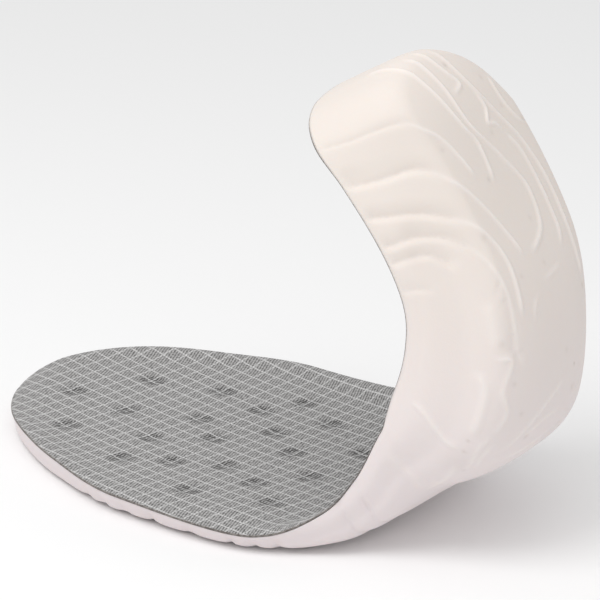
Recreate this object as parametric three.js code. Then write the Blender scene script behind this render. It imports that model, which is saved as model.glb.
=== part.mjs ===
// Cushioned shoe insole for a left shoe, lying on its forefoot with the heel half bent up and curled over.
// Millimetres. The flat of the sole rests on z = 0 and +X runs from the toe towards the bend.
// +Y points to the big toe's side, and the origin is on the sole under the ball of the foot.
//
// Every point is first placed on the insole laid flat: s runs along it from the toe, y across it and
// h up from the sole. The bend then rolls s along a curve in the XZ plane.

import * as THREE from "three";
import { mergeVertices } from "three/addons/utils/BufferGeometryUtils.js";

// Driving dimensions
const LENGTH = 265;
const COVER_THICKNESS = 1.1;
const COVER_GAP = 0.3;
const BALL_OF_FOOT = 62;
const SPINE_END = 30;
const WALL_BULGE = 1.2;
const BULGE_FADES_FROM = 215;
const BULGE_FADES_BY = 250;
const EDGE_ROUNDING = { forefoot: 1.6, heel: 7 };
const WALL_ROOT = { forefoot: 7, heel: 8.5 };
const CUP_STARTS = 95;
const CUP_WHOLE = 150;

// How the section passes from the outer side to the inner one, and how its corners are eased
const SIDE_SHARPNESS = 1.3;
const SIDE_LEAST_HALF = 12;
const SOLE_CAMBER_POWER = 3;
const EDGE_MOST_OF_WALL = 0.6;

// Rim outline laid flat: middle line and half width at each station
const OUTLINE = [
  { s: 0, centre: 12, half: 0 },
  { s: 4, centre: 11, half: 16 },
  { s: 15, centre: 9, half: 29 },
  { s: 35, centre: 6, half: 40 },
  { s: 60, centre: 4, half: 47 },
  { s: 90, centre: 1.5, half: 45.5 },
  { s: 125, centre: 4.5, half: 36 },
  { s: 165, centre: 3, half: 31.5 },
  { s: 210, centre: 5, half: 29.5 },
  { s: 240, centre: 4.5, half: 28 },
  { s: 250, centre: 2.5, half: 25.5 },
  { s: 258, centre: 1, half: 20 },
  { s: LENGTH, centre: -1, half: 0 },
];

// Cross-section at each station: height of the finished rim and inset of the lower edge on the outer and
// inner sides, heights of that edge and of the sole's middle, and thickness of foam and cover at the middle
const SECTIONS = [
  { s: 0, rimOut: 5.5, rimIn: 6.5, insetOut: 1, insetIn: 1.5, edge: 0, keel: 0, thick: 6 },
  { s: 25, rimOut: 7.5, rimIn: 7.5, insetOut: 2, insetIn: 2, edge: 0, keel: 0, thick: 6.5 },
  { s: 60, rimOut: 6.5, rimIn: 7.5, insetOut: 3, insetIn: 2, edge: 0, keel: 0, thick: 6.5 },
  { s: 95, rimOut: 5.5, rimIn: 10, insetOut: 3, insetIn: 4, edge: 0, keel: 0, thick: 6.5 },
  { s: 115, rimOut: 11.5, rimIn: 14, insetOut: 2, insetIn: 8.5, edge: 2, keel: 0, thick: 6 },
  { s: 127, rimOut: 17.5, rimIn: 18.5, insetOut: 3, insetIn: 10, edge: 4, keel: 2.5, thick: 6 },
  { s: 140, rimOut: 25.5, rimIn: 22.5, insetOut: 3, insetIn: 10.5, edge: 10, keel: 4, thick: 6 },
  { s: 147, rimOut: 27.5, rimIn: 24, insetOut: 3, insetIn: 11, edge: 9.5, keel: 3, thick: 6 },
  { s: 170, rimOut: 29, rimIn: 27, insetOut: 4, insetIn: 13, edge: 5.5, keel: -1.5, thick: 6 },
  { s: 220, rimOut: 21.5, rimIn: 27, insetOut: 9, insetIn: 6, edge: 1.5, keel: 0, thick: 5.5 },
  { s: LENGTH, rimOut: 28.5, rimIn: 23.5, insetOut: 4.5, insetIn: 2, edge: 5, keel: 0, thick: 5.5 },
];

// Heading of the sole in degrees, from flat on the ground to past upright
const BEND = [
  { s: 0, heading: 0 },
  { s: 100, heading: 0 },
  { s: 112, heading: 11 },
  { s: 125, heading: 26 },
  { s: 140, heading: 33.5 },
  { s: 155, heading: 58 },
  { s: 175, heading: 88.5 },
  { s: 195, heading: 109 },
  { s: 215, heading: 123 },
  { s: 240, heading: 123 },
  { s: LENGTH, heading: 130 },
];

// Folds pressed into the outer wall where the bend crowds it: their place at the rim and at the wall's foot
const CREASES = [
  { rim: 213, foot: 206, depth: 0.4 },
  { rim: 221, foot: 209, depth: 0.9 },
  { rim: 224.5, foot: 217, depth: 0.9 },
  { rim: 232.5, foot: 221.5, depth: 1 },
  { rim: 241.5, foot: 234, depth: 0.8 },
  { rim: 251, foot: 246, depth: 0.4 },
];
const CREASE_WIDTH = 1.6;
const CREASE_STARTS = 0.05;
const CREASE_WHOLE = 0.6;
const CREASE_ENDS = 0.92;

// Stations where the mesh is cut, stretch by stretch
const STRETCHES = [
  { to: 14, steps: 6, round: "start" },
  { to: 95, steps: 11 },
  { to: 160, steps: 14 },
  { to: 204, steps: 9 },
  { to: 246, steps: 25 },
  { to: LENGTH, steps: 9, round: "end" },
];

// Rings from the middle of the sole out to its edge, up the wall, and from the rim in to the middle
const SOLE_RINGS = [0, 0.43, 0.7, 0.87];
const EDGE_RINGS = [0.33, 0.67, 1];
const WALL_RINGS = [0.3, 0.55, 0.76, 0.92, 1];
const CUP_RINGS = [0.12, 0.3, 0.52, 0.76, 1];
const FLOOR_RINGS = [0.5, 1];

const clamp = THREE.MathUtils.clamp;
const lerp = THREE.MathUtils.lerp;
const smoothstep = THREE.MathUtils.smoothstep;

// Smooth curve through a table column that never overshoots its rows
function through(rows, column, place = (row) => row.s) {
  const x = rows.map(place);
  const y = rows.map((row) => row[column]);
  const slope = x.slice(1).map((right, i) => (y[i + 1] - y[i]) / (right - x[i]));
  const tangent = y.map((_, i) => {
    if (i === 0) return slope[0];
    if (i === y.length - 1) return slope[i - 1];
    const [before, after] = [slope[i - 1], slope[i]];
    return before * after <= 0 ? 0 : (2 * before * after) / (before + after);
  });
  return (at) => {
    let i = 0;
    while (i < x.length - 2 && at > x[i + 1]) i += 1;
    const span = x[i + 1] - x[i];
    const k = clamp((at - x[i]) / span, 0, 1);
    const rise = y[i + 1] - y[i];
    const start = tangent[i] * span;
    const end = tangent[i + 1] * span;
    return y[i] + k * (start + k * (3 * rise - 2 * start - end + k * (start + end - 2 * rise)));
  };
}

// Equal steps of this angle crowd the stations towards both ends, where the outline turns round
const turn = (s) => Math.acos(clamp(1 - (2 * s) / LENGTH, -1, 1));
const centre = through(OUTLINE, "centre");
const halfByTurn = through(OUTLINE, "half", (row) => turn(row.s));
const half = (s) => halfByTurn(turn(s));
const section = Object.fromEntries(
  Object.keys(SECTIONS[0]).map((column) => [column, through(SECTIONS, column)]),
);
const heading = through(BEND, "heading");

// Curve of the bent sole in the XZ plane, summed in short steps from the toe
const ROLL_STEP = 0.5;
const roll = [{ x: -BALL_OF_FOOT, z: 0 }];
for (let s = 0; s < LENGTH; s += ROLL_STEP) {
  const angle = THREE.MathUtils.degToRad(heading(s + ROLL_STEP / 2));
  const last = roll[roll.length - 1];
  roll.push({ x: last.x + Math.cos(angle) * ROLL_STEP, z: last.z + Math.sin(angle) * ROLL_STEP });
}

// A point of the flat insole, carried to its place on the bent one
function bend({ s, y, h }) {
  const at = clamp(s, 0, LENGTH) / ROLL_STEP;
  const i = Math.min(Math.floor(at), roll.length - 2);
  const angle = THREE.MathUtils.degToRad(heading(s));
  const x = lerp(roll[i].x, roll[i + 1].x, at - i) - Math.sin(angle) * h;
  const z = lerp(roll[i].z, roll[i + 1].z, at - i) + Math.cos(angle) * h;
  return new THREE.Vector3(x, y, z);
}

function stationList() {
  const list = [0];
  for (const { to, steps, round } of STRETCHES) {
    const from = list[list.length - 1];
    for (let i = 1; i <= steps; i += 1) {
      const k = i / steps;
      const eased = { start: 1 - Math.cos((k * Math.PI) / 2), end: Math.sin((k * Math.PI) / 2) }[round];
      list.push(lerp(from, to, eased ?? k));
    }
  }
  return list;
}

// Points round the rim, down the outer side from toe to heel and back along the inner side
function rimPoints() {
  const stations = stationList();
  const back = stations.slice(1, -1).reverse();
  const outer = stations.map((s) => ({ s, y: centre(s) - half(s) }));
  const inner = back.map((s) => ({ s, y: centre(s) + half(s) }));
  const rim = [...outer, ...inner];
  return rim.map((point, i) => {
    const before = rim[(i + rim.length - 1) % rim.length];
    const after = rim[(i + 1) % rim.length];
    const along = new THREE.Vector2(after.s - before.s, after.y - before.y).normalize();
    return { ...point, inward: { s: -along.y, y: along.x } };
  });
}

const step = (from, direction, distance) => ({
  s: from.s + direction.s * distance,
  y: from.y + direction.y * distance,
});

const between = (a, b, k) => ({ s: lerp(a.s, b.s, k), y: lerp(a.y, b.y, k), h: lerp(a.h, b.h, k) });

// Depth of the wall's folds at a share k of the way from its foot to the rim
function creaseDepth(s, k) {
  const fade = smoothstep(k, CREASE_STARTS, CREASE_WHOLE) * (1 - smoothstep(k, CREASE_ENDS, 1));
  const depths = CREASES.map(({ rim, foot, depth }) => {
    const away = (s - lerp(foot, rim, k)) / CREASE_WIDTH;
    return depth * Math.exp(-away * away);
  });
  return fade * Math.max(...depths);
}

// The section's line at one rim point: from the middle of the sole round to the middle of the cover's seat
function sectionLine(rim) {
  const { s } = rim;
  const side = clamp((SIDE_SHARPNESS * (rim.y - centre(s))) / Math.max(half(s), SIDE_LEAST_HALF), -1, 1);
  const inner = 0.5 + 0.5 * side;
  const mixed = (outerColumn, innerColumn) => lerp(section[outerColumn](s), section[innerColumn](s), inner);
  const cup = smoothstep(s, CUP_STARTS, CUP_WHOLE);
  const seat = COVER_THICKNESS + COVER_GAP;
  const rimHeight = mixed("rimOut", "rimIn") - seat;
  const inset = mixed("insetOut", "insetIn");
  const spineAt = clamp(s, SPINE_END, LENGTH - SPINE_END);
  const spine = { s: spineAt, y: centre(spineAt) };
  const keel = section.keel(spineAt);
  const floor = keel + section.thick(spineAt) - seat;

  const lowerEdge = { ...step(rim, rim.inward, inset), h: section.edge(s) };
  const soleMiddle = { ...spine, h: keel };
  const rimTop = { s, y: rim.y, h: rimHeight };
  const sole = SOLE_RINGS.map((k) => ({
    ...between(soleMiddle, lowerEdge, k),
    h: lerp(keel, lowerEdge.h, k ** SOLE_CAMBER_POWER),
  }));

  const reach = lerp(EDGE_ROUNDING.forefoot, EDGE_ROUNDING.heel, cup);
  const wallShare = clamp(reach / rimHeight, 0, EDGE_MOST_OF_WALL);
  const edgeFrom = sole[sole.length - 1];
  const edgeTo = between(lowerEdge, rimTop, wallShare);
  const edge = EDGE_RINGS.map((k) =>
    between(between(edgeFrom, lowerEdge, k), between(lowerEdge, edgeTo, k), k),
  );

  const wallBulge = WALL_BULGE * cup * (1 - smoothstep(s, BULGE_FADES_FROM, BULGE_FADES_BY));
  const wall = WALL_RINGS.map((k) => {
    const point = between(edgeTo, rimTop, k);
    const bulge = wallBulge * Math.sin(Math.PI * k) ** 2;
    const dent = (1 - inner) * creaseDepth(s, k);
    return { ...step(point, rim.inward, dent - bulge), h: point.h };
  });

  const run = inset + lerp(WALL_ROOT.forefoot, WALL_ROOT.heel, cup);
  const inside = CUP_RINGS.map((k) => ({
    ...step(rim, rim.inward, run * k),
    h: lerp(rimHeight, floor, k * k * (3 - 2 * k)),
  }));
  const cupFoot = inside[inside.length - 1];
  const seatMiddle = { ...spine, h: floor };
  const middle = FLOOR_RINGS.map((k) => between(cupFoot, seatMiddle, k));
  return { under: [...sole, ...edge, ...wall], top: [rimTop, ...inside, ...middle] };
}

const WELD = 1e-3;

// Closed skin over rings of points that all run the same way round
function skin(rings) {
  const around = rings[0].length;
  const positions = rings.flatMap((ring) => ring.flatMap((point) => point.toArray()));
  const index = [];
  for (let r = 0; r + 1 < rings.length; r += 1) {
    for (let i = 0; i < around; i += 1) {
      const next = (i + 1) % around;
      const [a, b] = [r * around + i, r * around + next];
      const [c, d] = [a + around, b + around];
      index.push(a, b, d, a, d, c);
    }
  }
  const geometry = new THREE.BufferGeometry();
  geometry.setAttribute("position", new THREE.Float32BufferAttribute(positions, 3));
  geometry.setIndex(index);
  return withoutSlivers(mergeVertices(geometry, WELD));
}

// Triangles whose corners met at the middle of the sole or the seat have no area and are left out
function withoutSlivers(geometry) {
  const corners = geometry.index.array;
  const kept = [];
  for (let i = 0; i < corners.length; i += 3) {
    const [a, b, c] = corners.slice(i, i + 3);
    if (a !== b && b !== c && c !== a) kept.push(a, b, c);
  }
  geometry.setIndex(kept);
  geometry.computeVertexNormals();
  return geometry;
}

const turned = (lines) => lines[0].map((_, r) => lines.map((line) => line[r]));

function ringNormals(rings) {
  return rings.map((ring, r) =>
    ring.map((point, i) => {
      const around = ring.length;
      const along = ring[(i + 1) % around].clone().sub(ring[(i + around - 1) % around]);
      const inner = rings[Math.min(r + 1, rings.length - 1)][i];
      const outer = rings[Math.max(r - 1, 0)][i];
      return along.cross(inner.clone().sub(outer)).normalize();
    }),
  );
}

const lifted = (rings, normals, distance) =>
  rings.map((ring, r) => ring.map((point, i) => point.clone().addScaledVector(normals[r][i], distance)));

const lines = rimPoints().map(sectionLine);
const underRings = turned(lines.map((line) => line.under.map(bend)));
const seatRings = turned(lines.map((line) => line.top.map(bend)));

function foamBase() {
  const rings = [...underRings, ...seatRings.slice(1)];
  return skin(rings);
}

function topCover() {
  const normals = ringNormals(seatRings);
  const middle = seatRings.length - 1;
  seatRings[middle].forEach((_, i) => {
    const at = THREE.MathUtils.degToRad(heading(lines[i].top[middle].s));
    normals[middle][i] = new THREE.Vector3(-Math.sin(at), 0, Math.cos(at));
  });
  const back = lifted(seatRings, normals, COVER_GAP);
  const face = lifted(seatRings, normals, COVER_GAP + COVER_THICKNESS);
  return skin([...[...back].reverse(), ...face]);
}

function piece(name, geometry, look) {
  const mesh = new THREE.Mesh(geometry, new THREE.MeshStandardMaterial(look));
  mesh.name = name;
  return mesh;
}

const insole = new THREE.Group();
insole.add(piece("foam_base", foamBase(), { color: 0xefe6df, roughness: 0.75, metalness: 0 }));
insole.add(piece("top_cover", topCover(), { color: 0x9c9a99, roughness: 0.9, metalness: 0 }));

export default insole;
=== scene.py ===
# Looks of a cushioned shoe insole for a left shoe, lying on its forefoot with the heel curled up.
# A fine foam body with its moulded relief and folds, and a woven cover on top of it.
# Lengths are millimetres until a mesh is made, where MM turns them into metres.
# Materials, lights, the floor and the camera are in metres from the start.

import math

import bpy
import numpy as np
from mathutils import Matrix, Vector


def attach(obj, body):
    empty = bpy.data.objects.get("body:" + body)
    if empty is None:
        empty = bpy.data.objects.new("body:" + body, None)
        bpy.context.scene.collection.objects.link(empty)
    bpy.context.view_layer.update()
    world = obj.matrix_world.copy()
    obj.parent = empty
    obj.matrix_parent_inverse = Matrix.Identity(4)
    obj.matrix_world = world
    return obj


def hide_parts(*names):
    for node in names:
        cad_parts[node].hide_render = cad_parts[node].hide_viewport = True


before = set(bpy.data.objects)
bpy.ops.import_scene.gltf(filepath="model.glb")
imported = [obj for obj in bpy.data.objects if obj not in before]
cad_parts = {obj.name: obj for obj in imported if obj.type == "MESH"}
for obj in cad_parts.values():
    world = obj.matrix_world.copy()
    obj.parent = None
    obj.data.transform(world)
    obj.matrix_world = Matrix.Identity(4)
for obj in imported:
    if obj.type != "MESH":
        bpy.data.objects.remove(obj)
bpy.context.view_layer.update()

MM = 0.001


def table(names, *rows):
    """The columns of a short table, by name."""
    return dict(zip(names.split(), np.array(rows, float).T))


# Sizes of the insole laid flat: s runs from the toe, y across and h up from the sole
LENGTH = 265
BALL_OF_FOOT = 62
COVER_THICKNESS = 1.1
COVER_GAP = 0.3
SEAT = COVER_THICKNESS + COVER_GAP
SPINE_END = 30
SIDE_SHARPNESS = 1.3
SIDE_LEAST_HALF = 12
SOLE_SHARE = 0.87
SOLE_CAMBER_POWER = 3
EDGE_ROUNDING = (1.6, 7)
EDGE_MOST_OF_WALL = 0.6
WALL_ROOT = (7, 8.5)
CUP_STARTS = 95
CUP_WHOLE = 150

OUTLINE = table(
    "s centre half",
    (0, 12, 0),
    (4, 11, 16),
    (15, 9, 29),
    (35, 6, 40),
    (60, 4, 47),
    (90, 1.5, 45.5),
    (125, 4.5, 36),
    (165, 3, 31.5),
    (210, 5, 29.5),
    (240, 4.5, 28),
    (250, 2.5, 25.5),
    (258, 1, 20),
    (LENGTH, -1, 0),
)
SECTIONS = table(
    "s rim_out rim_in inset_out inset_in edge keel thick",
    (0, 5.5, 6.5, 1, 1.5, 0, 0, 6),
    (25, 7.5, 7.5, 2, 2, 0, 0, 6.5),
    (60, 6.5, 7.5, 3, 2, 0, 0, 6.5),
    (95, 5.5, 10, 3, 4, 0, 0, 6.5),
    (115, 11.5, 14, 2, 8.5, 2, 0, 6),
    (127, 17.5, 18.5, 3, 10, 4, 2.5, 6),
    (140, 25.5, 22.5, 3, 10.5, 10, 4, 6),
    (147, 27.5, 24, 3, 11, 9.5, 3, 6),
    (170, 29, 27, 4, 13, 5.5, -1.5, 6),
    (220, 21.5, 27, 9, 6, 1.5, 0, 5.5),
    (LENGTH, 28.5, 23.5, 4.5, 2, 5, 0, 5.5),
)
BEND = table(
    "s heading",
    (0, 0),
    (100, 0),
    (112, 11),
    (125, 26),
    (140, 33.5),
    (155, 58),
    (175, 88.5),
    (195, 109),
    (215, 123),
    (240, 123),
    (LENGTH, 130),
)

# The cup's wall bulges, and its top turns in over a shoulder. Both fade out at the heel's end
WALL_BULGE = 1.2
BULGE_FADES_FROM = 215
BULGE_FADES_BY = 250
SHOULDER = 0.5
SHOULDER_FROM = 0.35
SHOULDER_WHOLE = 0.75
SHOULDER_TURNS = 0.87

# At the rim the foam is raised and the cover thins, so that the cover's cut edge shows thin
RIM_RAISE = 0.5
EDGE_GAP = 0.05
THIN_BY = 0.25
EDGE_THICKNESS = table(
    "s thickness",
    (0, 0.55),
    (95, 0.55),
    (145, 0.06),
    (243, 0.06),
    (252, 0.45),
    (LENGTH, 0.45),
)
CUT_EDGE_ROUND = 0.12
CUT_EDGE_SHARES = (0.25, 0.75)

# Mesh spacing along the rim, fine where the detail shows, and rings across the section
RIM_SPACING = table("s spacing", (0, 1.5), (90, 1.5), (112, 0.52), (LENGTH, 0.52))
COVER_SPACING = table("s spacing", (0, 0.5), (100, 0.5), (125, 1.5), (LENGTH, 1.5))
SOLE_RINGS = 50
EDGE_RINGS = 12
WALL_RINGS = 30
CUP_RINGS = 12
FLOOR_RINGS = 4
COVER_FLOOR_RINGS = 72
OUTLINE_STEPS = 4000
ROLL_STEP = 0.5
WELD = 1e-4


# Curves through the tables
def cubic(first, rise, start, end, k):
    """From first by rise as k goes from 0 to 1, with the slopes start and end."""
    return first + k * (start + k * (3 * rise - 2 * start - end + k * (start + end - 2 * rise)))


def through(rows, column, at, place=None):
    """Smooth curve through a table's column that never overshoots its rows."""
    x = rows["s"] if place is None else place
    y = rows[column]
    slope = np.diff(y) / np.diff(x)
    product = slope[:-1] * slope[1:]
    total = np.where(product > 0, slope[:-1] + slope[1:], 1)
    middle = np.where(product > 0, 2 * product / total, 0)
    tangent = np.concatenate([slope[:1], middle, slope[-1:]])
    i = np.clip(np.searchsorted(x, at) - 1, 0, len(x) - 2)
    span = x[i + 1] - x[i]
    k = np.clip((at - x[i]) / span, 0, 1)
    return cubic(y[i], y[i + 1] - y[i], tangent[i] * span, tangent[i + 1] * span, k)


def smoothstep(x, low, high):
    k = np.clip((x - low) / (high - low), 0, 1)
    return k * k * (3 - 2 * k)


def mix(a, b, k):
    return a + (b - a) * k


def turn(s):
    """Equal steps of this angle crowd towards both ends, where the outline turns round."""
    return np.arccos(np.clip(1 - 2 * s / LENGTH, -1, 1))


def centre(s):
    return through(OUTLINE, "centre", s)


def half(s):
    return through(OUTLINE, "half", turn(s), turn(OUTLINE["s"]))


def heading(s):
    return np.radians(through(BEND, "heading", s))


def bend(points):
    """Points of the flat insole carried to their place on the bent one."""
    steps = np.arange(0, LENGTH + ROLL_STEP, ROLL_STEP)
    angle = heading(steps[:-1] + ROLL_STEP / 2)
    roll_x = np.concatenate([[0], np.cumsum(np.cos(angle))]) * ROLL_STEP - BALL_OF_FOOT
    roll_z = np.concatenate([[0], np.cumsum(np.sin(angle))]) * ROLL_STEP
    s, y, h = np.moveaxis(points, -1, 0)
    turned = heading(s)
    x = np.interp(s, steps, roll_x) - np.sin(turned) * h
    z = np.interp(s, steps, roll_z) + np.cos(turned) * h
    return np.stack([x, y, z], -1)


# The insole's sections, ring by ring
def rim_points(spacing):
    """Points round the rim, along the outer side and back along the inner one, with the way inward."""
    s = LENGTH * (1 - np.cos(np.linspace(0, np.pi, OUTLINE_STEPS))) / 2
    steps = np.hypot(np.diff(s), np.diff(half(s))) / np.interp(s[1:], spacing["s"], spacing["spacing"])
    count = np.concatenate([[0], np.cumsum(steps)])
    s = np.interp(np.linspace(0, count[-1], int(count[-1])), count, s)
    outer = np.stack([s, centre(s) - half(s)], -1)
    inner = np.stack([s, centre(s) + half(s)], -1)
    rim = np.concatenate([outer, inner[-2:0:-1]])
    along = np.roll(rim, -1, 0) - np.roll(rim, 1, 0)
    along /= np.linalg.norm(along, axis=-1, keepdims=True)
    return rim, np.stack([-along[:, 1], along[:, 0]], -1)


def shares(count, start=0.0, end=1.0):
    """Even steps from start to end, one to a ring."""
    return np.linspace(start, end, count)[:, None]


def joined(flat, h):
    return np.concatenate([flat, np.broadcast_to(h, flat.shape[:-1])[..., None]], -1)


class Section:
    """The section's line at every rim point, in rings round the insole."""

    def __init__(self, spacing):
        self.rim, self.inward = rim_points(spacing)
        s, y = self.rim.T
        self.s = s
        side = SIDE_SHARPNESS * (y - centre(s)) / np.maximum(half(s), SIDE_LEAST_HALF)
        self.inner = 0.5 + 0.5 * np.clip(side, -1, 1)
        self.cup = smoothstep(s, CUP_STARTS, CUP_WHOLE)
        self.rim_height = self.mixed("rim_out", "rim_in") - SEAT
        self.inset = self.mixed("inset_out", "inset_in")
        spine_at = np.clip(s, SPINE_END, LENGTH - SPINE_END)
        self.spine = np.stack([spine_at, centre(spine_at)], -1)
        self.keel = through(SECTIONS, "keel", spine_at)
        self.floor = self.keel + through(SECTIONS, "thick", spine_at) - SEAT
        self.edge = through(SECTIONS, "edge", s)
        self.rim_top = joined(self.rim, self.rim_height)
        self.lower_edge = joined(self.stepped(self.rim, self.inset), self.edge)

    def mixed(self, outer_column, inner_column):
        outer = through(SECTIONS, outer_column, self.s)
        return mix(outer, through(SECTIONS, inner_column, self.s), self.inner)

    def stepped(self, flat, distance):
        return flat + self.inward * np.asarray(distance)[..., None]

    def sole(self, count):
        k = shares(count, 0, SOLE_SHARE)
        flat = mix(self.spine, self.lower_edge[:, :2], k[..., None])
        return joined(flat, mix(self.keel, self.edge, k**SOLE_CAMBER_POWER))

    def edge_to(self):
        reach = mix(*EDGE_ROUNDING, self.cup)
        share = np.clip(reach / self.rim_height, 0, EDGE_MOST_OF_WALL)
        return mix(self.lower_edge, self.rim_top, share[:, None])

    def rounding(self, count, edge_from):
        k = shares(count + 1)[1:, :, None]
        first = mix(edge_from, self.lower_edge, k)
        return mix(first, mix(self.lower_edge, self.edge_to(), k), k)

    def wall(self, count):
        """The wall's rings, and how far up it each one is."""
        k = shares(count + 1)[1:]
        line = mix(self.edge_to(), self.rim_top + (0, 0, RIM_RAISE), k[..., None])
        shoulder = smoothstep(k, SHOULDER_FROM, SHOULDER_WHOLE) * (1 - smoothstep(k, SHOULDER_TURNS, 1))
        fade = self.cup * (1 - smoothstep(self.s, BULGE_FADES_FROM, BULGE_FADES_BY))
        bulge = fade * (WALL_BULGE * np.sin(np.pi * k) ** 2 + SHOULDER * shoulder)
        return joined(self.stepped(line[..., :2], -bulge), line[..., 2]), k

    def inside(self, count):
        k = shares(count + 1)[1:]
        run = self.inset + mix(*WALL_ROOT, self.cup)
        flat = self.stepped(self.rim, run * k)
        return joined(flat, mix(self.rim_height, self.floor, k * k * (3 - 2 * k)))

    def middle(self, count, cup_foot):
        k = shares(count + 1)[1:, :, None]
        return mix(cup_foot, joined(self.spine, self.floor), k)

    def seat(self, floor_count):
        """From the rim in to the middle, where the cover lies."""
        inside = self.inside(CUP_RINGS)
        return np.concatenate([self.rim_top[None], inside, self.middle(floor_count, inside[-1])])

    def thinned(self, floor_count):
        """How thinned the cover is on each ring: wholly at the rim, and not at all a little way in."""
        k = np.concatenate([np.linspace(0, 1, CUP_RINGS + 1), np.ones(floor_count)])
        return (1 - smoothstep(k, 0, THIN_BY))[:, None]

    def spread(self, rings, flat_from):
        """Rings laid out flat: as they are up to flat_from, and the wall folded outward after it."""
        chart = rings[..., :2].copy()
        for r in range(flat_from + 1, len(rings)):
            step = np.linalg.norm(rings[r] - rings[r - 1], axis=-1)
            chart[r] = self.stepped(chart[r - 1], -step)
        return chart


# Meshes from rings
def skin(rings):
    """Closed skin over rings: its corners, its faces, and the ring point that each corner comes from."""
    count, around, _ = rings.shape
    _, first, corner = np.unique(
        np.round(rings.reshape(-1, 3) / WELD), axis=0, return_index=True, return_inverse=True
    )
    corner = corner.reshape(count, around)
    after = np.roll(corner, -1, 1)
    quads = np.stack([corner[:-1], after[:-1], after[1:], corner[1:]], -1).reshape(-1, 4)
    return rings.reshape(-1, 3)[first], quads, first


def corner_normals(points, quads):
    a, b, c, d = np.moveaxis(points[quads], 1, 0)
    across = np.cross(c - a, d - b)
    total = np.zeros_like(points)
    for i in range(4):
        for axis in range(3):
            total[:, axis] += np.bincount(quads[:, i], across[:, axis], len(points))
    return total / np.linalg.norm(total, axis=-1, keepdims=True)


def ring_normals(rings, middle_heading):
    along = np.roll(rings, -1, 1) - np.roll(rings, 1, 1)
    normal = np.cross(along, np.gradient(rings, axis=0))
    normal[-1] = np.stack([-np.sin(middle_heading), 0 * middle_heading, np.cos(middle_heading)], -1)
    return normal / np.linalg.norm(normal, axis=-1, keepdims=True)


def whole_faces(quads):
    """Faces without repeated corners: quads, triangles where two corners met, and no slivers."""
    faces = []
    for quad in quads.tolist():
        kept = list(dict.fromkeys(quad))
        if len(kept) >= 3:
            faces.append(kept)
    return faces


def mesh_piece(name, points, faces, materials):
    mesh = bpy.data.meshes.new(name)
    mesh.from_pydata((points * MM).tolist(), [], faces)
    for material in materials:
        mesh.materials.append(material)
    mesh.shade_smooth()
    mesh.update()
    piece = bpy.data.objects.new(name, mesh)
    bpy.context.collection.objects.link(piece)
    return piece


def add_values(piece, **amounts):
    """Amounts at the piece's corners, for its material."""
    for name, amount in amounts.items():
        piece.data.attributes.new(name, "FLOAT", "POINT").data.foreach_set("value", amount)


def add_pattern(piece, name, chart):
    """Where each corner lies on the flat cut, for the piece's material."""
    corner = np.empty(len(piece.data.loops), np.int32)
    piece.data.loops.foreach_get("vertex_index", corner)
    piece.data.uv_layers.new(name=name).uv.foreach_set("vector", (chart[corner] * MM).ravel())


# Moulded relief of the foam, placed on its outside laid out flat: along the insole and across it
def contour(fold, ridge, width, *places):
    """A moulded line: a low ridge, which starts on the wall as a fold where fold is over 0."""
    return {"fold": fold, "ridge": ridge, "width": width, "places": np.array(places, float)}


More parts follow.
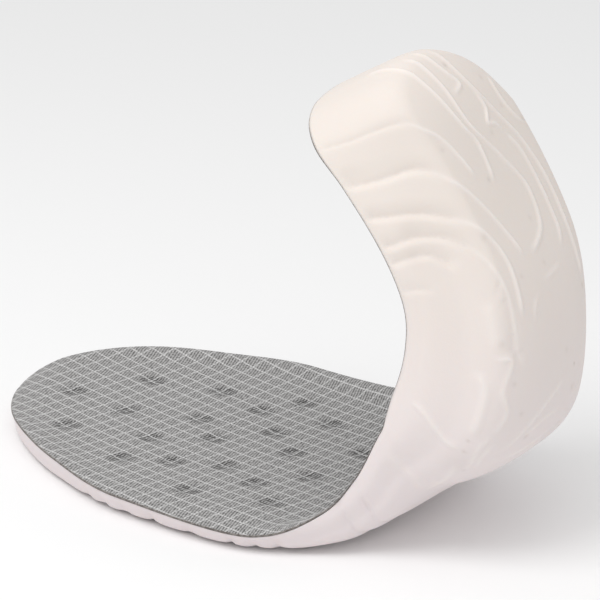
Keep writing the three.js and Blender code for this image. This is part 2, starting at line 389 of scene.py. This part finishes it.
LINE = 0.55
SOFT = 1.0
BROAD = 1.6
CONTOURS = (
    contour(
        0, 0.45, LINE,
        (271, -6), (258, -6), (248, -4), (240, -1.5), (236, 0.5), (232, 0.5), (225, -0.5),
    ),
    contour(
        0, 0.45, LINE,
        (263, -1.5), (252, -0.5), (240, 1), (231, 6.5), (220, 11.5), (212, 9), (207, 0),
    ),
    contour(0, 0.4, LINE, (264, 3), (257, 3.5), (253.5, 4.5), (249.5, 6), (248.5, 3.5), (248, 1)),
    contour(
        0, 0.45, LINE,
        (261, 7), (249, 9.5), (240.5, 13.5), (231, 19), (220, 21.5), (209, 20.5), (195, 18.5),
    ),
    contour(0, 0.4, LINE, (247, 9.5), (242, 10.5), (238.5, 8.5), (237.5, 11), (234, 13.5)),
    contour(0, 0.4, LINE, (235, 13), (230, 16), (222, 17), (213.5, 16.5), (208.5, 15.5), (204.5, 13)),
    contour(0, 0.4, LINE, (249, 21.5), (245.5, 20), (241, 20), (236.5, 22), (233.5, 25)),
    contour(
        0.4, 0.45, LINE,
        (254, -36.5), (250.5, -31), (248.5, -24), (246.5, -17.5), (242.5, -12.5), (228, -5.5),
    ),
    contour(
        1.0, 0.45, LINE,
        (240, -35), (238.5, -29), (236, -18.5), (230.5, -13.5), (219, -7), (207, -2.5),
    ),
    contour(
        1.1, 0.45, LINE,
        (231.5, -34), (227, -23), (217.5, -12.5), (208.5, -9.5), (203, -10), (195, -11.5),
    ),
    contour(
        1.0, 0.4, LINE,
        (224, -34), (223, -27), (218, -19), (207, -14), (194, -14.5), (188, -15.5), (184, -14),
    ),
    contour(0.9, 0, LINE, (220, -34), (219.5, -30.5), (218, -26), (215, -23.5), (212, -22)),
    contour(0.4, 0, LINE, (213.5, -35.5), (212, -31.5), (209.5, -28)),
    contour(
        0, 0.3, LINE,
        (190, -21.5), (188, -20), (187.5, -18), (179.5, -20.5), (174.5, -19.5), (167.5, -22.5),
    ),
    contour(0, 0.3, LINE, (169, -22), (164, -24), (158.5, -23.5), (153.5, -22.5)),
    contour(0, 0.35, BROAD, (203.5, -19), (197, -19.5), (189, -20.5)),
    contour(0, 0.5, SOFT, (187, -26), (181, -24.5), (176, -25.5), (166.5, -27)),
    contour(0, 0.4, SOFT, (177, -42), (171, -38), (165.5, -34.5), (162, -30.5), (162, -27)),
    contour(0, 0.25, BROAD, (139.5, -38.5), (140.5, -32.5), (141, -27), (138, -23.5)),
    contour(0, 0.3, LINE, (177, 1.5), (174, -5.5), (168, -14), (162.5, -18)),
    contour(0, 0.3, LINE, (170, 0), (169.5, -7), (167.5, -11.5), (166, -14.5)),
    contour(0, 0.3, LINE, (164, -1.5), (162, -8.5), (159, -15.5)),
    contour(0, 0.3, LINE, (165.5, -19), (165, -21), (162, -22), (155, -21)),
    contour(0, 0.3, LINE, (157, -26), (145.5, -23.5), (138.5, -22)),
    contour(0, 0.2, LINE, (202, 11.5), (201, 4.5), (200.5, -0.5)),
    contour(0, 0.2, LINE, (199, -2.5), (196.5, -6), (192.5, -8)),
)
FOLD_ABOVE = 4.2
FOLD_BELOW = 1.6
FOLD_STARTS = 11
FOLD_WHOLE = 20
# Ridge height that gets the whole painted highlight on its crest
WHOLE_CREST_HIGHLIGHT = 0.4
LINE_STEP = 0.5
LINE_TAPER = 4

# Grooves under the forefoot that cut its outer edge, each at its own notch, and half fade up the wall
NOTCHES = (45, 52, 60, 68.5, 80, 92, 99, 105, 124, 129)
OUTER_EDGE = -42
GROOVE_DEPTH = 0.8
GROOVE_WIDTH = 1.2
GROOVE_SWING = 6
GROOVE_WAVE = 26
GROOVE_FADE = 0.5
GROOVE_FADES_BY = 0.8

# Small round marks of the mould
MARKS = table(
    "s across radius dark",
    (255, 6.5, 0.9, 0.6),
    (248.5, 17, 1.0, 0.3),
    (240.5, 18, 0.9, 0.25),
    (235.5, 25, 0.9, 0.4),
    (236, 8, 1.0, 0.25),
    (238, -12, 0.9, 0.25),
    (227, -2, 0.8, 0.45),
    (214.5, 6.5, 0.9, 0.25),
    (216, -13, 1.1, 0.3),
    (204, 3.5, 0.8, 0.25),
    (204, -7, 0.8, 0.25),
    (194, 18, 1.0, 0.4),
    (191.5, -19, 1.3, 0.25),
    (183, 3, 0.9, 0.25),
    (178.5, 6.5, 0.5, 0.9),
    (181, -17.5, 0.7, 0.3),
    (173, 6, 1.1, 0.35),
    (173, -15.5, 0.8, 0.3),
    (166, -12, 1.0, 0.35),
    (165.5, -27, 0.6, 0.6),
    (161.5, -26.5, 0.7, 0.5),
    (154.5, -23, 0.8, 0.3),
    (226, -27.5, 3.5, 0.14),
    (219.5, -30, 3.0, 0.14),
    (156, -27, 6.0, 0.12),
)
MARK_DEPTH = 0.3
MARK_STRENGTH = 0.5
MARK_SIZE = 0.75

# The rim holds its line: the relief all but dies out at the top of the wall
RIM_HOLD = 0.9
RIM_HOLD_FROM = 0.86


def curve_through(places):
    """A smooth curve through a line's places, in short steps, and how far along it each step is."""
    at = np.concatenate([[0], np.cumsum(np.linalg.norm(np.diff(places, axis=0), axis=-1))])
    tangent = np.gradient(places, at, axis=0)
    steps = np.linspace(0, at[-1], int(at[-1] / LINE_STEP) + 2)
    i = np.clip(np.searchsorted(at, steps) - 1, 0, len(at) - 2)
    span = (at[i + 1] - at[i])[:, None]
    k = (steps - at[i])[:, None] / span
    rise = places[i + 1] - places[i]
    return cubic(places[i], rise, tangent[i] * span, tangent[i + 1] * span, k), steps


def nearest_on(line, chart):
    """Distance from each place to a line, and the line's nearest step."""
    apart = np.linalg.norm(chart[:, None] - line[None], axis=-1)
    return apart.min(1), apart.argmin(1)


def contour_relief(chart, row):
    """Height of a moulded line, and how much painted highlight its crest gets at each place."""
    line, along = curve_through(row["places"])
    near = ((chart > line.min(0) - FOLD_ABOVE) & (chart < line.max(0) + FOLD_ABOVE)).all(1)
    place = chart[near]
    apart, step = nearest_on(line, place)
    ends = smoothstep(along[-1] - along[step], 0, LINE_TAPER)
    if row["fold"]:
        on_wall = smoothstep(np.abs(place[:, 1]), FOLD_STARTS, FOLD_WHOLE)
    else:
        on_wall = np.zeros(len(place))
        ends *= smoothstep(along[step], 0, LINE_TAPER)
    above = place[:, 0] > line[step][:, 0]
    valley = np.clip(1 - apart / np.where(above, FOLD_ABOVE, FOLD_BELOW), 0, 1) ** 2
    profile = (1 - on_wall) * ends * np.exp(-((apart / row["width"]) ** 2))
    height = np.zeros(len(chart))
    height[near] = row["ridge"] * profile - row["fold"] * on_wall * ends * valley
    crest = np.zeros(len(chart))
    # Painted highlight along the ridge's crest, stronger on higher and narrower ridges
    crest[near] = profile * min(1, row["ridge"] / WHOLE_CREST_HIGHLIGHT) * LINE / row["width"]
    return height, crest


def groove_relief(chart):
    """Wavy grooves across the flat of the forefoot, each from its notch in the outer edge."""
    s, across = chart.T
    depth = np.zeros(len(chart))
    for notch in NOTCHES:
        at_edge = np.sin((OUTER_EDGE + notch) / GROOVE_WAVE)
        swing = GROOVE_SWING * (np.sin((across + notch) / GROOVE_WAVE) - at_edge)
        apart = s - notch - swing
        depth = np.maximum(depth, np.exp(-np.abs(apart) / GROOVE_WIDTH))
    return -GROOVE_DEPTH * depth


def marks_at(chart):
    """How dark the mould's marks are at each place."""
    dark = np.zeros(len(chart))
    for s, across, radius, strength in zip(*MARKS.values()):
        apart = np.hypot(chart[:, 0] - s, chart[:, 1] - across)
        dark = np.maximum(dark, MARK_STRENGTH * strength * np.exp(-((apart / radius / MARK_SIZE) ** 2)))
    return dark


def foam_relief(chart, share_up):
    """Height of the relief at each place, how dark its marks are, and how much painted highlight the
    crests get.
    """
    contours = [contour_relief(chart, row) for row in CONTOURS]
    relief = sum(height for height, _ in contours)
    crest = np.max([crest for _, crest in contours], axis=0)
    relief += groove_relief(chart) * (1 - GROOVE_FADE * smoothstep(share_up, 0, GROOVE_FADES_BY))
    dark = marks_at(chart)
    relief -= MARK_DEPTH * dark
    relief *= 1 - RIM_HOLD * smoothstep(share_up, RIM_HOLD_FROM, 1)
    return relief, dark, crest


def foam_body(material):
    section = Section(RIM_SPACING)
    sole = section.sole(SOLE_RINGS)
    edge = section.rounding(EDGE_RINGS, sole[-1])
    wall, wall_share = section.wall(WALL_RINGS)
    outside = np.concatenate([sole, edge, wall])
    seat = section.seat(FLOOR_RINGS)
    seat[..., 2] += RIM_RAISE * section.thinned(FLOOR_RINGS)
    chart = section.spread(outside, len(sole) - 1)
    share_up = np.concatenate([np.zeros(len(sole) + len(edge)), wall_share[:, 0]])

    points, quads, first = skin(np.concatenate([bend(outside), bend(seat[1:])]))
    on_outside = first < outside.shape[0] * outside.shape[1]
    places = chart.reshape(-1, 2)[first[on_outside]]
    places_up = np.repeat(share_up, chart.shape[1])[first[on_outside]]
    relief, dark, crest = foam_relief(places, places_up)
    normals = corner_normals(points, quads)
    points[on_outside] += normals[on_outside] * relief[:, None]

    piece = mesh_piece("insole_foam", points, whole_faces(quads), [material])
    values = np.zeros((2, len(points)))
    values[:, on_outside] = dark, crest
    add_values(piece, stain=values[0], crest=values[1])
    return piece


# Dents pressed into the cover under the ball of the foot: along the insole, and across it
DENTS = (
    (16.5, 4), (27, -15), (29, 21), (34, 1), (48, 25), (48.5, -10), (49, -24), (52.5, 7),
    (60.5, -19), (61.5, -1.5), (62, 20), (69, 30.5), (72, 10), (72.5, -31), (72.5, -14),
    (81, 22.5), (82, 2), (83.5, -18.5), (92.5, -26), (93, -8), (97, 11),
)
DENT_DEPTH = 0.5
DENT_LENGTH = 2.5
DENT_WIDTH = 1.9
DENT_TURN = 30
DENT_TURN_VARIES = 22
GOLDEN_TURN = 2.4
# How far the painted shade in each dent reaches
DENT_SHADE_SIZE = 1.7
PINCH_HEIGHT = 0.15
PINCH_WIDTH = 0.42
PINCH_WINGS = 0.35

# Grid of thicker yarns in the cover, bowed over the forefoot as the cloth was stretched
PATTERN = "flat_cut"
CELL = 3.97
WARP_NORMAL = math.radians(78.8)
WEFT_NORMAL = math.radians(-15.4)
GRID_BOW = 0.00038
BOW_REACH = 60


def dent_depth(chart):
    """Depth of the dents at each place, how much painted shade each dent gets, and how pinched into a
    wrinkle it is, which gets a painted highlight.
    """
    depth = np.zeros(len(chart))
    pressed = np.zeros(len(chart))
    pinched = np.zeros(len(chart))
    for i, place in enumerate(DENTS):
        angle = math.radians(DENT_TURN + DENT_TURN_VARIES * math.sin(GOLDEN_TURN * i))
        away = chart - place
        along = away @ (math.cos(angle), math.sin(angle))
        beside = away @ (-math.sin(angle), math.cos(angle))
        apart = (along / DENT_LENGTH) ** 2 + (beside / DENT_WIDTH) ** 2
        wing = beside - PINCH_WINGS * np.abs(along)
        pinch = np.exp(-((along / DENT_LENGTH) ** 2) - (wing / PINCH_WIDTH) ** 2)
        depth += DENT_DEPTH * np.exp(-apart) - PINCH_HEIGHT * pinch
        # Painted shade in the dent
        pressed = np.maximum(pressed, np.exp(-((apart / DENT_SHADE_SIZE) ** 2)))
        pinched = np.maximum(pinched, pinch)
    return depth, pressed, pinched


def grid_counts(chart):
    """Cells of the weave's grid from the ball of the foot to each place, one way and the other."""
    along, across = chart.T - np.array([[BALL_OF_FOOT], [0]])
    bow = GRID_BOW * (2 * BOW_REACH**2 * np.log(np.cosh(along / BOW_REACH)) + across**2)
    warp = (along * math.cos(WARP_NORMAL) + across * math.sin(WARP_NORMAL)) / CELL - bow
    weft = (along * math.cos(WEFT_NORMAL) + across * math.sin(WEFT_NORMAL)) / CELL + bow
    return warp, weft


def cover_chart(section, floor_rings):
    """Where the cover's rings lie on its flat cut, from the rim in."""
    return section.spread(section.seat(floor_rings)[::-1], floor_rings)[::-1]


def cover_side(section, floor_rings, lift, rim_lift, dents=0.0):
    """One side of the cover, from the rim in: off the foam by lift, and by rim_lift at the rim."""
    seat = bend(section.seat(floor_rings))
    off_foam = mix(lift, rim_lift, section.thinned(floor_rings)) - dents
    return seat + ring_normals(seat, heading(section.spine[:, 0])) * off_foam[..., None]


def cut_edge_rings(section, back_rim, face_rim):
    """Rings round the cover's cut edge, from its back to its face."""
    rim, next_in = bend(section.seat(FLOOR_RINGS)[:2])
    outward = rim - next_in
    outward /= np.linalg.norm(outward, axis=-1, keepdims=True)
    return [mix(back_rim, face_rim, share) + outward * CUT_EDGE_ROUND for share in CUT_EDGE_SHARES]


def woven_cover(weave, cut_edge):
    """The cover, and the line that its flat cut follows."""
    section = Section(COVER_SPACING)
    chart = cover_chart(section, COVER_FLOOR_RINGS)
    dents, pressed, pinched = dent_depth(chart.reshape(-1, 2))
    back_lift = RIM_RAISE + EDGE_GAP
    face_lift = back_lift + np.interp(section.s, EDGE_THICKNESS["s"], EDGE_THICKNESS["thickness"])
    back = cover_side(section, FLOOR_RINGS, COVER_GAP, back_lift)
    face = cover_side(section, COVER_FLOOR_RINGS, SEAT, face_lift, dents.reshape(chart.shape[:2]))
    edge = cut_edge_rings(section, back[0], face[0])
    rings = np.concatenate([back[::-1], edge, face])
    points, quads, first = skin(rings)
    faces = whole_faces(quads)
    piece = mesh_piece("insole_cover", points, faces, [weave, cut_edge])

    back_chart = cover_chart(section, FLOOR_RINGS)[::-1]
    edge_chart = np.repeat(chart[:1], len(edge), 0)
    charts = np.concatenate([back_chart, edge_chart, chart]).reshape(-1, 2)[first]
    add_pattern(piece, PATTERN, charts)

    ring = first // rings.shape[1]
    face_from = len(back) + len(edge)
    is_edge = (ring >= len(back) - 1) & (ring <= face_from)
    on_edge = [all(is_edge[i] for i in face_corners) for face_corners in faces]
    piece.data.polygons.foreach_set("material_index", np.array(on_edge, np.int32))

    on_face = ring >= face_from
    face_point = first[on_face] - face_from * rings.shape[1]
    values = np.zeros((2, len(points)))
    values[:, on_face] = pressed[face_point], pinched[face_point]
    warp, weft = grid_counts(charts)
    add_values(piece, pressed=values[0], pinched=values[1], warp=warp, weft=weft)
    return piece, chart[0]


# Materials, from nodes
def set_inputs(tree, node, inputs):
    """Link or set a node's inputs by name or number."""
    for name, value in inputs.items():
        socket = node.inputs[name]
        if isinstance(value, bpy.types.NodeSocket):
            tree.links.new(value, socket)
        elif socket.type == "RGBA":
            socket.default_value = (*value, 1)
        else:
            socket.default_value = value


def add(tree, kind, inputs, **settings):
    node = tree.nodes.new(kind)
    for name, value in settings.items():
        setattr(node, name, value)
    set_inputs(tree, node, inputs)
    return node


def calc(tree, operation, a, b=0.0, clamp=False):
    return add(tree, "ShaderNodeMath", {0: a, 1: b}, operation=operation, use_clamp=clamp).outputs[0]


def ramp(tree, value, low, high, to_low=0.0, to_high=1.0):
    inputs = {"Value": value, 1: low, 2: high, 3: to_low, 4: to_high}
    return add(tree, "ShaderNodeMapRange", inputs, interpolation_type="SMOOTHSTEP").outputs[0]


def tinted(tree, share, colour_a, colour_b):
    inputs = {0: share, 6: colour_a, 7: colour_b}
    return add(tree, "ShaderNodeMix", inputs, data_type="RGBA").outputs[2]


def noise(tree, where, scale, detail):
    inputs = {"Vector": where, "Scale": scale, "Detail": detail}
    return add(tree, "ShaderNodeTexNoise", inputs).outputs[0]


def bumped(tree, height, strength, depth):
    inputs = {"Height": height, "Strength": strength, "Distance": depth}
    return add(tree, "ShaderNodeBump", inputs).outputs[0]


def value_at(tree, name):
    return add(tree, "ShaderNodeAttribute", {}, attribute_name=name).outputs["Fac"]


def object_place(tree):
    return add(tree, "ShaderNodeTexCoord", {}).outputs["Object"]


def new_material(name):
    material = bpy.data.materials.new(name)
    material.use_nodes = True
    tree = material.node_tree
    return material, tree, tree.nodes["Principled BSDF"]


# Foam, a little warmer towards the top where the heel stands, as painted warm light, with painted
# highlights on its crests and darker marks
FOAM = (0.785, 0.715, 0.72)
# Painted warm light: a warmer foam colour higher up, standing in for the warmer light on the upper part
FOAM_PAINTED_WARM_LIGHT = (0.79, 0.722, 0.67)
PAINTED_WARM_LIGHT_FROM = 0.0
PAINTED_WARM_LIGHT_BY = 0.09
# Painted highlight on the crests of the moulded lines
PAINTED_CREST_HIGHLIGHT = (0.88, 0.825, 0.79)
CREST_HIGHLIGHT_SHARE = 0.75
STAIN = (0.36, 0.29, 0.24)
GRAIN_SCALE = 1800.0
GRAIN_DETAIL = 3.0
PORE_SCALE = 420.0
PORE_DETAIL = 2.0
PORE_RANGE = (0.3, 0.7)
PORE_ROUGHNESS = (0.55, 0.68)
FOAM_BUMP = 0.12
FOAM_BUMP_DEPTH = 0.0002
FOAM_FINISH = {
    "Subsurface Weight": 0.12,
    "Subsurface Radius": (1.0, 0.7, 0.5),
    "Subsurface Scale": 0.0015,
    "Specular IOR Level": 0.3,
}


def foam_material():
    material, tree, shader = new_material("moulded_foam")
    place = object_place(tree)
    height = add(tree, "ShaderNodeSeparateXYZ", {0: place}).outputs["Z"]
    # Painted warm light: warmer with height above the floor
    colour = tinted(tree, ramp(tree, height, PAINTED_WARM_LIGHT_FROM, PAINTED_WARM_LIGHT_BY), FOAM, FOAM_PAINTED_WARM_LIGHT)
    # Painted highlight on the crests of the moulded lines
    crest = calc(tree, "MULTIPLY", value_at(tree, "crest"), CREST_HIGHLIGHT_SHARE)
    colour = tinted(tree, crest, colour, PAINTED_CREST_HIGHLIGHT)
    colour = tinted(tree, value_at(tree, "stain"), colour, STAIN)
    grain = noise(tree, place, GRAIN_SCALE, GRAIN_DETAIL)
    pores = noise(tree, place, PORE_SCALE, PORE_DETAIL)
    pitted = calc(tree, "ADD", grain, pores)
    varied = {
        "Base Color": colour,
        "Normal": bumped(tree, pitted, FOAM_BUMP, FOAM_BUMP_DEPTH),
        "Roughness": ramp(tree, pores, *PORE_RANGE, *PORE_ROUGHNESS),
    }
    set_inputs(tree, shader, varied | FOAM_FINISH)
    return material


# Cloth of fine twill with thicker yarns in a grid, with painted shade in stripes in the dents and
# painted highlights along their pinched wrinkles
DARK_YARN = (0.07, 0.068, 0.067)
LIGHT_YARN = (0.545, 0.536, 0.53)
TWILL_WARP = 2.3
TWILL_WEFT = 5.1
TWILL_LIGHT = (0.26, 0.74)
UNEVEN = 0.25
UNEVEN_SCALE = 1600.0
UNEVEN_DETAIL = 2.0
UNEVEN_RANGE = (0.3, 0.7)
RIPSTOP = (0.80, 0.795, 0.79)
RIPSTOP_HALF_WIDTH = 0.035
WARP_LINE = 0.7
WEFT_LINE = 0.62
DASHES_PER_CELL = 4
DASH_LEAST = 0.5
# Painted shade in the dents, in this many stripes to a cell and this dark
SHADE_STRIPES_PER_CELL = 5
PAINTED_DENT_SHADE = -0.48
DENT_SHADE_STRIPES = 1.0
# Painted highlight along the pinched wrinkles
PAINTED_WRINKLE_HIGHLIGHT = 0.25
WEAVE_BUMP = 0.35
WEAVE_BUMP_DEPTH = 0.0001
WEAVE_FINISH = {
    "Roughness": 0.85,
    "Specular IOR Level": 0.2,
    "Sheen Weight": 0.1,
}


def wave(tree, count):
    """A smooth wave from 0 to 1, once for each whole step of count."""
    swing = calc(tree, "SINE", calc(tree, "MULTIPLY", count, 2 * math.pi))
    return add(tree, "ShaderNodeMapRange", {"Value": swing, 1: -1.0, 2: 1.0}).outputs[0]


def ripstop_line(tree, count, crossing, strength):
    """A thicker yarn at every whole step of count, in dashes between the yarns that cross it."""
    apart = calc(tree, "PINGPONG", count, 0.5)
    line = ramp(tree, apart, RIPSTOP_HALF_WIDTH, 2 * RIPSTOP_HALF_WIDTH, strength, 0.0)
    beat = wave(tree, calc(tree, "MULTIPLY", crossing, DASHES_PER_CELL))
    return calc(tree, "MULTIPLY", line, ramp(tree, beat, 0.0, 1.0, DASH_LEAST, 1.0))


def pressed_shade(tree, weft):
    """How much painted shade darkens the cloth in a dent, in stripes between its yarns."""
    shade_stripes = wave(tree, calc(tree, "MULTIPLY", weft, SHADE_STRIPES_PER_CELL))
    darkest = PAINTED_DENT_SHADE - DENT_SHADE_STRIPES / 2
    lightest = PAINTED_DENT_SHADE + DENT_SHADE_STRIPES / 2
    striped_shade = ramp(tree, shade_stripes, 0.0, 1.0, darkest, lightest)
    return calc(tree, "MULTIPLY", value_at(tree, "pressed"), striped_shade)


def weave_material():
    material, tree, shader = new_material("woven_cover")
    pattern = add(tree, "ShaderNodeUVMap", {}, uv_map=PATTERN).outputs[0]
    warp = value_at(tree, "warp")
    weft = value_at(tree, "weft")
    twill_warp = calc(tree, "MULTIPLY", warp, TWILL_WARP)
    twill = wave(tree, calc(tree, "ADD", twill_warp, calc(tree, "MULTIPLY", weft, TWILL_WEFT)))
    twill_light = ramp(tree, twill, 0.0, 1.0, *TWILL_LIGHT)
    blotches = noise(tree, pattern, UNEVEN_SCALE, UNEVEN_DETAIL)
    uneven = ramp(tree, blotches, *UNEVEN_RANGE, -UNEVEN, UNEVEN)
    # Painted shade in the dents
    shade = pressed_shade(tree, weft)
    light = calc(tree, "ADD", calc(tree, "ADD", twill_light, uneven), shade, clamp=True)
    colour = tinted(tree, light, DARK_YARN, LIGHT_YARN)
    warp_lines = ripstop_line(tree, warp, weft, WARP_LINE)
    lines = calc(tree, "MAXIMUM", warp_lines, ripstop_line(tree, weft, warp, WEFT_LINE))
    # Painted highlight along the pinched wrinkles, taken with the ripstop lines
    wrinkle_highlight = calc(tree, "MULTIPLY", value_at(tree, "pinched"), PAINTED_WRINKLE_HIGHLIGHT)
    ripstop_and_highlight = calc(tree, "MAXIMUM", lines, wrinkle_highlight)
    height = calc(tree, "ADD", twill, lines)
    varied = {
        "Base Color": tinted(tree, ripstop_and_highlight, colour, RIPSTOP),
        "Normal": bumped(tree, height, WEAVE_BUMP, WEAVE_BUMP_DEPTH),
    }
    set_inputs(tree, shader, varied | WEAVE_FINISH)
    return material


# The cover's cut edge, of dark fibres
CUT_EDGE = (0.13, 0.115, 0.105)
CUT_EDGE_LIGHT = (0.26, 0.24, 0.225)
FIBRE_SCALE = 1500.0
FIBRE_DETAIL = 2.0
FIBRE_RANGE = (0.35, 0.65)
CUT_EDGE_ROUGHNESS = 0.9


def cut_edge_material():
    material, tree, shader = new_material("cut_edge")
    fibres = noise(tree, object_place(tree), FIBRE_SCALE, FIBRE_DETAIL)
    colour = tinted(tree, ramp(tree, fibres, *FIBRE_RANGE), CUT_EDGE, CUT_EDGE_LIGHT)
    set_inputs(tree, shader, {"Base Color": colour, "Roughness": CUT_EDGE_ROUGHNESS})
    return material


# Floor
FLOOR_SIZE = 6.0
FLOOR_FINISH = {
    "Base Color": (0.95, 0.95, 0.95),
    "Roughness": 0.9,
    "Specular IOR Level": 0.0,
}


def floor_material():
    material, tree, shader = new_material("pale_floor")
    set_inputs(tree, shader, FLOOR_FINISH)
    return material


def make_floor():
    corner = FLOOR_SIZE / 2
    mesh = bpy.data.meshes.new("floor")
    corners = [(-corner, -corner, 0), (corner, -corner, 0), (corner, corner, 0), (-corner, corner, 0)]
    mesh.from_pydata(corners, [], [(0, 1, 2, 3)])
    mesh.materials.append(floor_material())
    floor = bpy.data.objects.new("floor", mesh)
    bpy.context.collection.objects.link(floor)


# Light: an even white surround and two soft lamps
SURROUND = {"Color": (1, 1, 1), "Strength": 0.73}
LIGHT_AIM = Vector((0.02, 0.0, 0.05))
LAMPS = (
    {"name": "key", "place": (-0.07, -0.32, 0.55), "size": 0.35, "power": 1.3},
    {"name": "fill", "place": (0.2, -0.2, 0.6), "size": 0.3, "power": 0.3},
)


def area_lamp(name, place, size, power):
    light = bpy.data.lights.new(name, "AREA")
    light.shape = "DISK"
    light.size = size
    light.energy = power
    lamp = bpy.data.objects.new(name, light)
    lamp.location = place
    lamp.rotation_euler = (LIGHT_AIM - Vector(place)).to_track_quat("-Z", "Y").to_euler()
    bpy.context.collection.objects.link(lamp)


def make_light():
    world = bpy.data.worlds.new("studio")
    world.use_nodes = True
    set_inputs(world.node_tree, world.node_tree.nodes["Background"], SURROUND)
    bpy.context.scene.world = world
    for lamp in LAMPS:
        area_lamp(**lamp)


# Camera at the photograph's viewing angle
AZIMUTH = 30.05
ELEVATION = 21.42
ROLL = 1.73
DISTANCE = 0.8843
AIM = Vector((0.02195, 0.00008, 0.04769))
LENS = 220.67
SENSOR = 36
FARTHEST = 20


def make_camera():
    data = bpy.data.cameras.new("camera")
    data.lens = LENS
    data.sensor_width = SENSOR
    data.clip_end = FARTHEST
    camera = bpy.data.objects.new("camera", data)
    turned = Matrix.Rotation(math.radians(AZIMUTH), 4, "Z")
    tilted = Matrix.Rotation(math.radians(90 - ELEVATION), 4, "X")
    rolled = Matrix.Rotation(math.radians(ROLL), 4, "Z")
    back = Matrix.Translation((0, 0, DISTANCE))
    camera.matrix_world = Matrix.Translation(AIM) @ turned @ tilted @ back @ rolled
    bpy.context.collection.objects.link(camera)
    bpy.context.scene.camera = camera


make_camera()
make_light()
make_floor()
bpy.context.scene.view_settings.view_transform = "Standard"

foam = foam_body(foam_material())
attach(foam, "root")
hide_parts("foam_base")

cover, cut_line = woven_cover(weave_material(), cut_edge_material())
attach(cover, "root")
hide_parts("top_cover")
